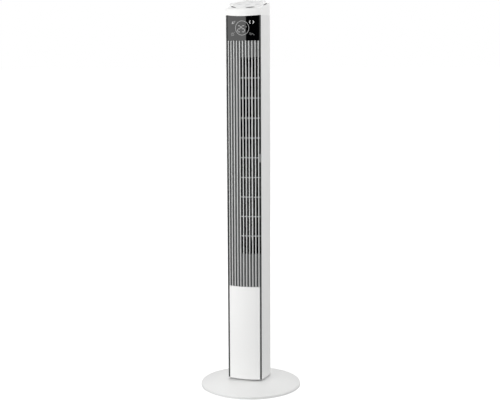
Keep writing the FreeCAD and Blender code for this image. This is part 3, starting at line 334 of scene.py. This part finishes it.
def grille():
    """The bars and crossbars; the bars' flanks are dull and near-black: painted shade in the gaps between the
    bars.
    """
    bars = [bar(number * BAR_PITCH) for number in range(-BARS_PER_SIDE, BARS_PER_SIDE + 1)]
    crossbars = [crossbar(CROSS_FIRST + CROSS_PITCH * number) for number in range(CROSS_COUNT)]
    made = piece("grille_bars", joined(bars + crossbars), MATERIALS["silver_bars"], "tower")
    made.data.materials.append(MATERIALS["bar_flank_shade"])
    bar_corners = sum(len(verts) for verts, _ in bars)
    for polygon in made.data.polygons:
        middle = polygon.center / MM
        depth = BOW_RADIUS - math.hypot(middle.x, middle.y - BOW_MIDDLE)
        # faces behind the bars' noses take the painted shade
        if depth > SHADED_FLANK_DEPTH and max(polygon.vertices) < bar_corners:
            polygon.material_index = 1
    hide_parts("outlet_grille")


# ------------------------------------------------------------------ flat marks

def stroke(points, width, closed=False):
    """A flat line of the given width through points, as (verts, faces) in the plane."""
    verts, faces = [], []
    count = len(points)
    for k, (x, y) in enumerate(points):
        ahead = points[(k + 1) % count] if closed or k + 1 < count else points[k]
        back = points[k - 1] if closed or k else points[k]
        dx, dy = ahead[0] - back[0], ahead[1] - back[1]
        size = math.hypot(dx, dy) or 1
        nx, ny = -dy / size * width / 2, dx / size * width / 2
        verts += [(x + nx, y + ny), (x - nx, y - ny)]
    for k in range(count if closed else count - 1):
        a, b = 2 * k, 2 * ((k + 1) % count)
        faces.append((a, a + 1, b + 1, b))
    return verts, faces


def oval(cx, cy, wide, high, start, end, steps):
    """Points on an oval about (cx, cy), with wide and high its half sizes, from start to end degrees."""
    angles = [math.radians(start + (end - start) * k / steps) for k in range(steps + 1)]
    return [(cx + wide * math.cos(a), cy + high * math.sin(a)) for a in angles]


def arc(cx, cy, radius, start, end, steps):
    return oval(cx, cy, radius, radius, start, end, steps)


def arrow_tip(radius, degrees, size):
    """A small triangle at the end of an arc about (0, 0), pointing on round it."""
    a = math.radians(degrees)
    x, y = radius * math.cos(a), radius * math.sin(a)
    half = size * 0.75
    verts = [(x + math.cos(a) * half, y + math.sin(a) * half),
             (x - math.cos(a) * half, y - math.sin(a) * half),
             (x - math.sin(a) * size, y + math.cos(a) * size)]
    return verts, [(0, 2, 1)]


# ------------------------------------------------------------------ the display's lit symbols

FILM_LIFT, FILM_THICK = 0.05, 0.04
FIGURE_LOW, FIGURE_WIDE, FIGURE_HIGH, FIGURE_STROKE = 1057.8, 8.2, 17.4, 1.9
READOUT_X, READOUT_Z, READOUT_RADIUS = -1.2, 1068.8, 20.0
CLOCK_X, CLOCK_Z = -30.6, 1051.2
GUST_Z = 1052.2
TURNING_Z = 1085.3


def on_pane(parts, name, surface):
    """Flat marks laid on the bowed pane, as thin solid films."""
    shape = film(parts, lambda x, y: bow(x, -FILM_LIFT, y), lambda x, y: bow(x, -FILM_LIFT + FILM_THICK, y))
    return piece(name, shape, surface, "tower", flat=True)


def digit(segments, x):
    """A seven-segment figure, drawn as separate bars with small gaps."""
    inset = FIGURE_STROKE * 0.65
    right = x + FIGURE_WIDE
    low, half, high = FIGURE_LOW, FIGURE_LOW + FIGURE_HIGH / 2, FIGURE_LOW + FIGURE_HIGH
    ends = {
        "a": ((x + inset, high), (right - inset, high)),
        "b": ((right, high - inset), (right, half + inset)),
        "c": ((right, half - inset), (right, low + inset)),
        "d": ((x + inset, low), (right - inset, low)),
        "e": ((x, half - inset), (x, low + inset)),
        "f": ((x, high - inset), (x, half + inset)),
        "g": ((x + inset, half), (right - inset, half)),
    }
    return [stroke(list(ends[s]), FIGURE_STROKE) for s in segments]


def readout(pale, dim):
    """The temperature, 25 degrees, in a ring."""
    ring = stroke(arc(READOUT_X, READOUT_Z, READOUT_RADIUS, 0, 355, 72), 1.2, closed=True)
    on_pane([ring], "display_ring", pale)
    on_pane(digit("abged", -14.4) + digit("afgcd", -1.8), "display_figures", pale)
    on_pane([stroke(arc(11.2, 1072.2, 1.5, 0, 330, 14), 0.7, closed=True)], "display_degree", dim)


def leaf_mark(pale):
    """A leaf for the quiet setting."""
    leaf = [(-34.0, 1080.6), (-29.6, 1080.3), (-25.0, 1083.0), (-21.4, 1088.4), (-26.8, 1087.8),
            (-29.2, 1086.2), (-31.2, 1088.0), (-31.6, 1084.6)]
    on_pane([(leaf, [tuple(reversed(range(len(leaf))))])], "display_leaf", pale)


def turning_mark(bright):
    """Two arrows that chase each other: the fan turns from side to side."""
    parts = [stroke(oval(26.4, TURNING_Z, 5.9, 4.4, 118, 246, 18), 1.9),
             stroke(oval(27.4, TURNING_Z, 5.2, 4.4, 292, 418, 18), 1.9),
             stroke([(20.4, 1083.2), (23.6, 1081.6)], 2.0),
             stroke([(31.2, 1087.6), (33.8, 1084.6)], 2.4)]
    on_pane(parts, "display_turning", bright)


def clock_mark(dim):
    """A clock for the timer."""
    parts = [stroke(arc(CLOCK_X, CLOCK_Z, 4.1, 0, 350, 24), 1.1, closed=True),
             stroke([(CLOCK_X, CLOCK_Z), (CLOCK_X, CLOCK_Z + 2.7)], 0.9),
             stroke([(CLOCK_X, CLOCK_Z), (CLOCK_X + 1.7, CLOCK_Z - 0.8)], 0.9),
             stroke([(-26.3, 1055.0), (-23.8, 1057.6)], 1.1)]
    on_pane(parts, "display_clock", dim)


def gust_mark(dim):
    """A gust for the strength of the wind: two waves, and a third beyond them that falls away."""
    steps, swing = 14, 1.1
    parts = []
    for rise, start, reach, fall in ((2.0, 20.2, 6.6, 0), (-1.6, 20.2, 7.2, 0), (0.6, 27.6, 7.4, 0.24)):
        points = [(start + reach * k / steps,
                   GUST_Z + rise - fall * k + swing * math.sin(k / steps * 2 * math.pi))
                  for k in range(steps + 1)]
        parts.append(stroke(points, 0.9))
    on_pane(parts, "display_gust", dim)


def display_marks():
    pale = symbol_material("display_pale", 0.36)
    dim = symbol_material("display_dim", 0.22)
    readout(pale, dim)
    leaf_mark(pale)
    turning_mark(symbol_material("display_bright", 0.62))
    clock_mark(dim)
    gust_mark(dim)


# ------------------------------------------------------------------ the slanted top

TILT = math.radians(13.6)
DIAL_Y, DIAL_Z = -8.4, 1137.97
VENT_COUNT, VENT_TURN, VENT_HALF = 6, 22, 14.2
VENT_STATIONS = 24
RING_EDGE = 49.8
KEY_SPACING, KEY_RADIUS, POWER_RADIUS = 27, 7.5, 9.0
KEY_DEPTH, KEY_DISH = 0.6, 0.15


def slope(across, up, out):
    """A point on the slanted top: across, up the slope, and out of its surface."""
    return (across, DIAL_Y + up * math.cos(TILT) - out * math.sin(TILT),
            DIAL_Z + up * math.sin(TILT) + out * math.cos(TILT))


def vent(middle, section):
    """One hooded vent about the dial's middle, at an angle in degrees, fading to both its ends."""
    foot, sunk = -1, 0.9
    rows = []
    for k in range(VENT_STATIONS + 1):
        t = 2 * k / VENT_STATIONS - 1
        angle = math.radians(middle + VENT_HALF * t)
        rise = math.sqrt(max(1 - t * t, 0.0))
        row = []
        for radius, out in section:
            level = out * rise - sunk * (1 - rise) if out > foot else out
            r = radius if radius > RING_EDGE else RING_EDGE + (radius - RING_EDGE) * rise
            row.append(slope(r * math.cos(angle), r * math.sin(angle), level))
        rows.append(row)
    return skinned(rows)


def vent_slots():
    """Hooded vents over the slots round the trim ring: white hoods, and dark mouths that are painted shade,
    laid over the slots and out onto the cap.
    """
    section = [(52.6, -2.4), (54.9, -0.1), (54.6, 1.9), (54.1, 2.2), (48.6, 1.66), (48.2, 1.3),
               (49.3, 0.2), (50.3, -0.6), (50.3, -2.4)]
    hood, ends = 3, 2
    vents = [vent(-90 + VENT_TURN + 360 / VENT_COUNT * number, section) for number in range(VENT_COUNT)]
    # the dark mouths are painted shade standing for the slots' openings
    shade = material("slot_shade", (0.035, 0.035, 0.037), 0.7, spread=0.08, shine=0.2)
    made = piece("vent_slots", joined(vents), shade, "tower", sharp=30)
    made.data.materials.append(MATERIALS["white_shell"])
    sides = VENT_STATIONS * len(section)
    for number, polygon in enumerate(made.data.polygons):
        place = number % (sides + ends)
        if place < sides and place % len(section) == hood:
            polygon.material_index = 1


def power_symbol():
    return [stroke(arc(0, 0, 3.4, 120, 420, 28), 0.75), stroke([(0, 1.2), (0, 4.4)], 0.75)]


def blades_symbol():
    """Three open loops, a third of a turn apart."""
    parts = []
    for turn in (90, 210, 330):
        x, y = 1.9 * math.cos(math.radians(turn)), 1.9 * math.sin(math.radians(turn))
        parts.append(stroke(arc(x, y, 1.25, turn - 150, turn + 150, 18), 0.6))
    return parts


def clock_symbol():
    return [stroke(arc(0, 0, 3.0, 0, 350, 24), 0.6, closed=True), stroke([(0, 0), (0, 2.0)], 0.55),
            stroke([(0, 0), (1.4, -0.7)], 0.55)]


def waves_symbol():
    """Three level waves, each of two periods."""
    wide, steps, swing = 6.4, 16, 0.75
    return [stroke([(wide * (k / steps - 0.5), level + swing * math.sin(k / steps * 4 * math.pi))
                    for k in range(steps + 1)], 0.55)
            for level in (-1.5, 0.6, 2.7)]


def turning_symbol():
    return [stroke(arc(0, 0, 2.9, 100, 235, 16), 0.6), stroke(arc(0, 0, 2.9, 280, 415, 16), 0.6),
            arrow_tip(2.9, 237, 1.3), arrow_tip(2.9, 57, 1.3)]


def on_key(radius, across, up, lift):
    """Puts flat points on a key's dished face, lifted off it a little."""
    def lay(x, y):
        dish = -KEY_DEPTH + KEY_DISH * math.hypot(x, y) / (radius - 0.5)
        return slope(across + x, up + y, dish + lift)
    return lay


def key_marks():
    """Generic printed symbols on the five keys."""
    ink = material("key_ink", (0.66, 0.66, 0.665), 0.5, spread=0.05, bump=0)
    above, below = 0.03, -0.02
    places = (("power_key", POWER_RADIUS, 0, 0, power_symbol()),
              ("speed_key", KEY_RADIUS, KEY_SPACING, 0, blades_symbol()),
              ("timer_key", KEY_RADIUS, 0, KEY_SPACING, clock_symbol()),
              ("mode_key", KEY_RADIUS, -KEY_SPACING, 0, waves_symbol()),
              ("swing_key", KEY_RADIUS, 0, -KEY_SPACING, turning_symbol()))
    for name, radius, across, up, parts in places:
        shape = film(parts, on_key(radius, across, up, above), on_key(radius, across, up, below))
        piece(name + "_mark", shape, ink, name, flat=True)


# ------------------------------------------------------------------ painted shade in the recesses

GROOVE_LOW, GROOVE_HIGH = 35.8, 1104.6
MOUTH_LOW, MOUTH_HIGH = 403.0, 989.5


def groove_painted_shade(name, side):
    """A dark liner along the groove between the front frame and the shell, painted shade over the groove's
    wall and the shell's lip; side is -1 or 1.
    """
    section = [(51.5, 3.96), (51.82, 3.96), (51.84, 0.06), (52.4, 0.04), (52.4, -0.06), (51.75, -0.05),
               (51.5, 0.2)]
    rows = [[bow(side * u, d, z) for u, d in section] for z in (GROOVE_LOW, GROOVE_HIGH)]
    # frame grey laid over the white groove wall and lip: painted shade
    piece(name, skinned(rows), MATERIALS["frame_grey"], "tower")


def mouth_painted_shade():
    """A black liner on the right-hand wall of the outlet's mouth, painted shade over the shell's wall there,
    as plan points.
    """
    plan = [(51.2, -58.4), (51.65, -58.4), (51.75, -50.1), (50.3, -49.6), (50.2, -50.0), (51.4, -50.4)]
    rows = [[(x, y, z) for x, y in plan] for z in (MOUTH_LOW, MOUTH_HIGH)]
    # black laid over the white shell's wall in the mouth: painted shade
    piece("duct_mouth_painted_shade", skinned(rows), MATERIALS["black_duct"], "tower")


# ------------------------------------------------------------------ floor, world and lights

FLOOR_RINGS = (0.4, 0.8, 1.6, 4, 12, 60)
FLOOR_STATIONS = 96
FLOOR_COLOUR = (0.6, 0.6, 0.6, 1)
FLOOR_GLOW = 0.74
WHITE = (1, 1, 1, 1)


def floor_material():
    """Pale and matt; to the camera it also glows, so that it meets the white background."""
    made = bpy.data.materials.new("floor_pale")
    made.use_nodes = True
    tree = made.node_tree
    shader = tree.nodes["Principled BSDF"]
    shader.inputs["Roughness"].default_value = 0.9
    shader.inputs["Specular IOR Level"].default_value = 0.0
    shader.inputs["Base Color"].default_value = FLOOR_COLOUR
    seen = add(tree, "ShaderNodeLightPath")
    strength = maths(tree, "MULTIPLY", (seen, "Is Camera Ray"), FLOOR_GLOW)
    glow = add(tree, "ShaderNodeEmission", Color=WHITE, Strength=strength)
    both = add(tree, "ShaderNodeAddShader", _0=(shader, 0), _1=(glow, 0))
    tree.links.new(both.outputs[0], tree.nodes["Material Output"].inputs["Surface"])
    return made


def floor():
    """A wide pale disc under the fan."""
    turns = [2 * math.pi * k / FLOOR_STATIONS for k in range(FLOOR_STATIONS)]
    verts = [(0, 0, 0)]
    for radius in FLOOR_RINGS:
        verts += [(radius * math.cos(turn), radius * math.sin(turn), 0) for turn in turns]
    faces = [(0, 1 + k, 1 + (k + 1) % FLOOR_STATIONS) for k in range(FLOOR_STATIONS)]
    for ring in range(len(FLOOR_RINGS) - 1):
        low = 1 + ring * FLOOR_STATIONS
        for k in range(FLOOR_STATIONS):
            j = (k + 1) % FLOOR_STATIONS
            faces.append((low + k, low + FLOOR_STATIONS + k, low + FLOOR_STATIONS + j, low + j))
    mesh = bpy.data.meshes.new("floor")
    mesh.from_pydata(verts, [], faces)
    mesh.materials.append(floor_material())
    obj = bpy.data.objects.new("floor", mesh)
    SCENE.collection.objects.link(obj)


def world():
    """White to the camera; to other rays a soft sky that is brighter overhead.

    Mirror-like rays see it dark near the horizon in front, and bright above and behind.
    """
    level, overhead = 0.34, 0.22
    dark_band, behind_gain = 0.12, 2.5
    made = bpy.data.worlds.new("studio")
    SCENE.world = made
    made.use_nodes = True
    tree = made.node_tree
    tree.nodes.clear()
    where = add(tree, "ShaderNodeTexCoord")
    split = add(tree, "ShaderNodeSeparateXYZ", Vector=(where, "Generated"))
    seen = add(tree, "ShaderNodeLightPath")
    high = maths(tree, "MAXIMUM", (split, "Z"), 0.0)
    sky = maths(tree, "ADD", maths(tree, "MULTIPLY", high, overhead), level)
    above = maths(tree, "MAXIMUM", maths(tree, "SUBTRACT", (split, "Z"), dark_band), 0.0)
    rear = maths(tree, "MAXIMUM", maths(tree, "MULTIPLY", (split, "Y"), behind_gain), 0.0)
    behind = maths(tree, "MINIMUM", rear, 1.0)
    mirrored = maths(tree, "MAXIMUM", above, behind)
    steady = maths(tree, "SUBTRACT", 1.0, (seen, "Is Glossy Ray"))
    rest = maths(tree, "ADD", maths(tree, "MULTIPLY", sky, steady),
                 maths(tree, "MULTIPLY", mirrored, (seen, "Is Glossy Ray")))
    unseen = maths(tree, "SUBTRACT", 1.0, (seen, "Is Camera Ray"))
    total = maths(tree, "ADD", maths(tree, "MULTIPLY", rest, unseen), (seen, "Is Camera Ray"))
    light = add(tree, "ShaderNodeBackground", Color=WHITE, Strength=total)
    out = add(tree, "ShaderNodeOutputWorld")
    tree.links.new(light.outputs[0], out.inputs["Surface"])


def softbox(name, azimuth, distance, height, wide, high, radiance, aim):
    """A large soft panel aimed at a height; azimuth 0 is in front and goes round to the right."""
    angle = math.radians(azimuth)
    data = bpy.data.lights.new(name, "AREA")
    data.shape = "RECTANGLE"
    data.size, data.size_y = wide, high
    data.energy = radiance * 4 * wide * high
    obj = bpy.data.objects.new(name, data)
    obj.location = (distance * math.sin(angle), -distance * math.cos(angle), height)
    target = Vector((0, 0, aim))
    obj.rotation_mode = "QUATERNION"
    obj.rotation_quaternion = (target - obj.location).to_track_quat("-Z", "Y")
    obj.visible_camera = False
    SCENE.collection.objects.link(obj)


def lights():
    """The key light's edge also makes the upright boundary in the window's reflection."""
    softbox("key_light", azimuth=-33, distance=2.4, height=1.25, wide=2.2, high=2.6, radiance=1.95, aim=1.25)
    softbox("fill_light", azimuth=102, distance=2.6, height=1.8, wide=2.0, high=2.4, radiance=1.85, aim=1.1)
    softbox("rear_light", azimuth=205, distance=3.0, height=2.0, wide=2.0, high=2.2, radiance=0.7, aim=0.7)


make_camera()
finish_nodes()
grille()
display_marks()
vent_slots()
key_marks()
groove_painted_shade("groove_painted_shade_left", -1)
groove_painted_shade("groove_painted_shade_right", 1)
mouth_painted_shade()
floor()
world()
lights()
